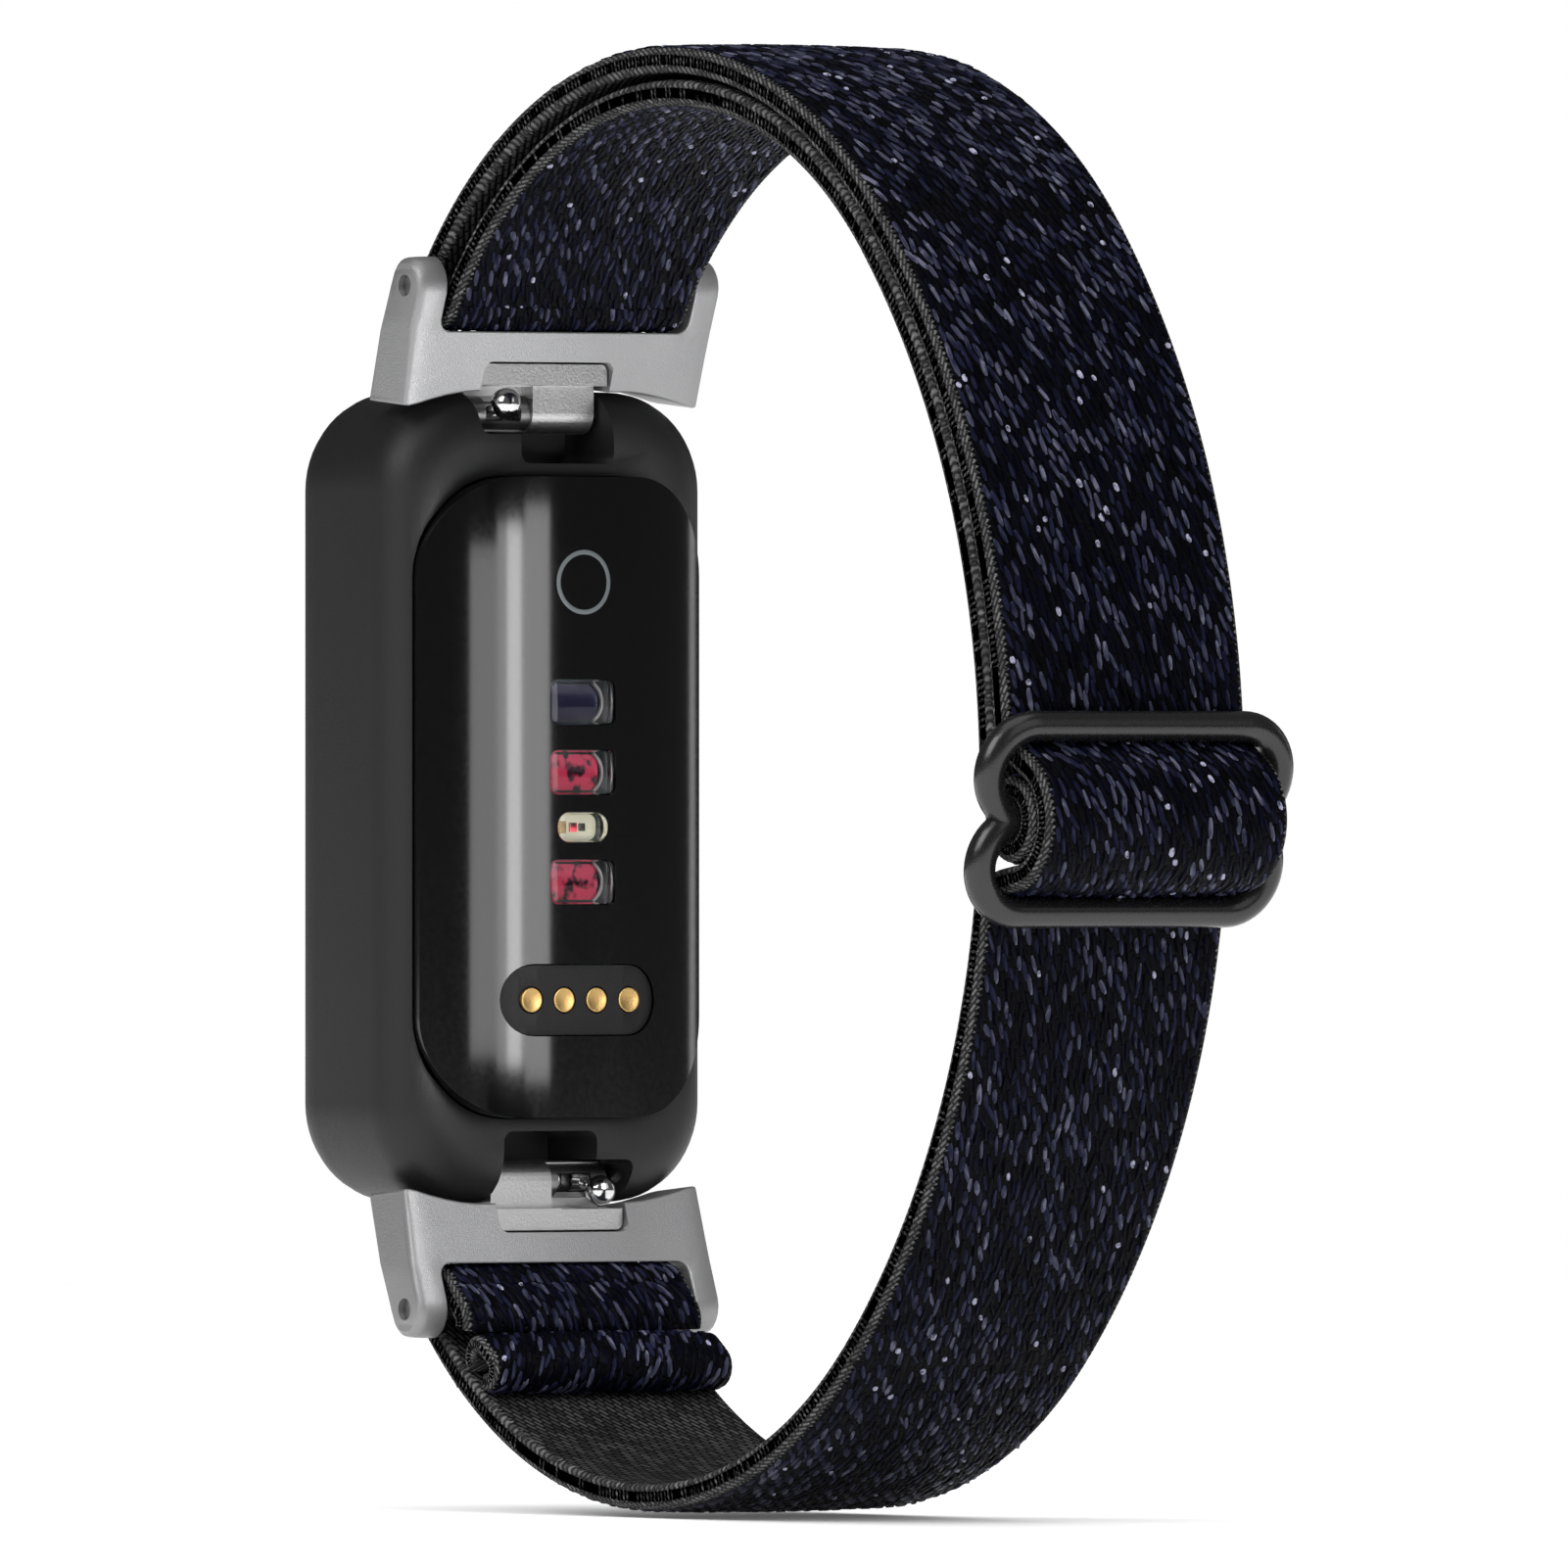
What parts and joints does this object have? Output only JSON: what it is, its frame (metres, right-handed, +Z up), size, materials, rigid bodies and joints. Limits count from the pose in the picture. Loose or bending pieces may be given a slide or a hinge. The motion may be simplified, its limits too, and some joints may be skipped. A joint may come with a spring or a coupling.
{
  "type": "fitness tracker band",
  "caption": "Elastic woven wrist band with a pebble-shaped activity tracker, quick-release metal lugs and a sliding three-bar length adjuster.",
  "frame": {"origin": "centre of the wrist, halfway between the tracker's back rim and the strap's inner face at the slider", "axes": "+Z up along the tracker, +X from the tracker to the slider, +Y along the wrist"},
  "size_m": [0.0621, 0.0186, 0.07],
  "materials": {
    "case_black": "soft matte moulding",
    "glass_black": "polished, near black",
    "seal_rubber": "matte",
    "display_dark": "gloss",
    "flex_amber": "satin",
    "tray_metal": "blasted",
    "board_green": "solder mask",
    "chip_black": "matte",
    "battery_foil": "foil",
    "motor_steel": "satin",
    "screw_steel": "satin",
    "sensor_red": "clear over red",
    "sensor_dark": "clear over dark violet",
    "light_white": "off-white ceramic",
    "window_clear": "clear",
    "window_pale": "clear",
    "insert_black": "fine matte",
    "pad_gold": "gold plated",
    "magnet_nickel": "nickel",
    "lug_silver": "bead blasted",
    "tongue_silver": "satin",
    "pin_steel": "satin",
    "spring_steel": "drawn wire",
    "knob_steel": "polished",
    "strap_navy": "knitted elastic webbing with metallic yarn",
    "strap_black": "knitted elastic webbing, plain face",
    "slider_black": "satin black coating"
  },
  "bodies": {
    "tracker": {"case_shell": "case_black", "front_glass": "glass_black", "front_gasket": "seal_rubber", "display_panel": "display_dark", "display_flex": "flex_amber", "inner_frame": "tray_metal", "main_board": "board_green", "board_chips": "chip_black", "battery_cell": "battery_foil", "vibration_motor": "motor_steel", "frame_screws": "screw_steel", "sensor_board": "board_green", "red_sensors": "sensor_red", "oxygen_sensor": "sensor_dark", "light_source": "light_white", "sensor_windows": "window_clear", "light_window": "window_pale", "back_cover": "glass_black", "back_gasket": "seal_rubber", "charging_insert": "insert_black", "charging_pads": "pad_gold", "charging_magnets": "magnet_nickel", "crown_outer": "strap_navy", "crown_inner": "strap_navy", "keel": "strap_navy", "rolled_hem": "strap_navy", "flank_outer": "strap_navy", "flank_inner": "strap_navy", "flank_lower": "strap_navy"},
    "upper_lug": {"upper_lug": "lug_silver", "upper_tongue": "tongue_silver", "upper_strap_pin": "pin_steel", "upper_bar_tube": "pin_steel", "upper_fixed_tip": "pin_steel", "upper_bar_spring": "spring_steel", "upper_fold": "strap_navy"},
    "lower_lug": {"lower_lug": "lug_silver", "lower_tongue": "tongue_silver", "lower_strap_pin": "pin_steel", "lower_bar_tube": "pin_steel", "lower_fixed_tip": "pin_steel", "lower_bar_spring": "spring_steel", "lower_fold": "strap_navy"},
    "upper_release": {"upper_release": "knob_steel"},
    "lower_release": {"lower_release": "knob_steel"},
    "slider": {"slider_frame": "slider_black", "slider_weave": "strap_navy", "sewn_loop": "strap_black"}
  },
  "joints": [
    {"name": "upper_lug_pivot", "type": "hinge", "parent": "tracker", "child": "upper_lug", "pos_m": [-0.0255, 0, 0.0186], "axis": [0, 1, 0], "range_deg": [-5, 10], "deforming": ["upper_fold"]},
    {"name": "lower_lug_pivot", "type": "hinge", "parent": "tracker", "child": "lower_lug", "pos_m": [-0.0255, 0, -0.0186], "axis": [0, 1, 0], "range_deg": [-10, 5], "deforming": ["lower_fold"]},
    {"name": "upper_release_slide", "type": "slide", "parent": "upper_lug", "child": "upper_release", "axis": [0, 1, 0], "range_m": [0, 0.0013], "stiffness_N_per_m": 150, "springref_m": -0.001, "deforming": ["upper_bar_spring"]},
    {"name": "lower_release_slide", "type": "slide", "parent": "lower_lug", "child": "lower_release", "axis": [0, -1, 0], "range_m": [0, 0.0013], "stiffness_N_per_m": 150, "springref_m": -0.001, "deforming": ["lower_bar_spring"]},
    {"name": "slider_travel", "type": "hinge", "parent": "tracker", "child": "slider", "pos_m": [-0.0144, 0, 0.0007], "axis": [0, -1, 0], "range_deg": [-10, 10], "deforming": ["flank_outer", "flank_inner", "flank_lower"]}
  ]
}
